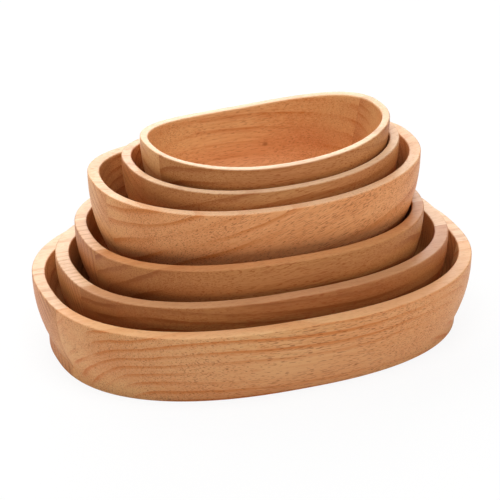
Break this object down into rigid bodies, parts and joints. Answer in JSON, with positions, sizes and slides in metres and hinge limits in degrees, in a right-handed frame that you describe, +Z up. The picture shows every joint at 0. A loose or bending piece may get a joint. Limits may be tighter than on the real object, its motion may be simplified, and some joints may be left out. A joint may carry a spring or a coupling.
{
  "type": "nest of wooden serving bowls",
  "caption": "Nest of oval wooden serving bowls, low level-rimmed ones under deeper ones with rims rising to the ends, each carved from edge-glued boards and lifting out of the one below.",
  "frame": {"origin": "middle of the largest bowl's underside, on the table", "axes": "+X along the bowls' length, +Y away from the front, +Z up"},
  "size_m": [0.33, 0.236, 0.166],
  "materials": {
    "rubberwood": "satin oiled"
  },
  "bodies": {
    "largest_bowl": {"largest_bowl_front_board": "rubberwood", "largest_bowl_middle_board": "rubberwood", "largest_bowl_back_board": "rubberwood"},
    "second_bowl": {"second_bowl_front_board": "rubberwood", "second_bowl_middle_board": "rubberwood", "second_bowl_back_board": "rubberwood"},
    "third_bowl": {"third_bowl_front_board": "rubberwood", "third_bowl_middle_board": "rubberwood", "third_bowl_back_board": "rubberwood"},
    "fourth_bowl": {"fourth_bowl_front_board": "rubberwood", "fourth_bowl_middle_board": "rubberwood", "fourth_bowl_back_board": "rubberwood"},
    "fifth_bowl": {"fifth_bowl_front_board": "rubberwood", "fifth_bowl_middle_board": "rubberwood", "fifth_bowl_back_board": "rubberwood"},
    "smallest_bowl": {"smallest_bowl_front_board": "rubberwood", "smallest_bowl_middle_board": "rubberwood", "smallest_bowl_back_board": "rubberwood"}
  },
  "joints": [
    {"name": "second_bowl_lift", "type": "slide", "parent": "largest_bowl", "child": "second_bowl", "axis": [0, 0, 1], "range_m": [0, 0.052]},
    {"name": "third_bowl_lift", "type": "slide", "parent": "second_bowl", "child": "third_bowl", "axis": [0, 0, 1], "range_m": [0, 0.042]},
    {"name": "fourth_bowl_lift", "type": "slide", "parent": "third_bowl", "child": "fourth_bowl", "axis": [0, 0, 1], "range_m": [0, 0.05]},
    {"name": "fifth_bowl_lift", "type": "slide", "parent": "fourth_bowl", "child": "fifth_bowl", "axis": [0, 0, 1], "range_m": [0, 0.077]},
    {"name": "smallest_bowl_lift", "type": "slide", "parent": "fifth_bowl", "child": "smallest_bowl", "axis": [0, 0, 1], "range_m": [0, 0.067]}
  ]
}
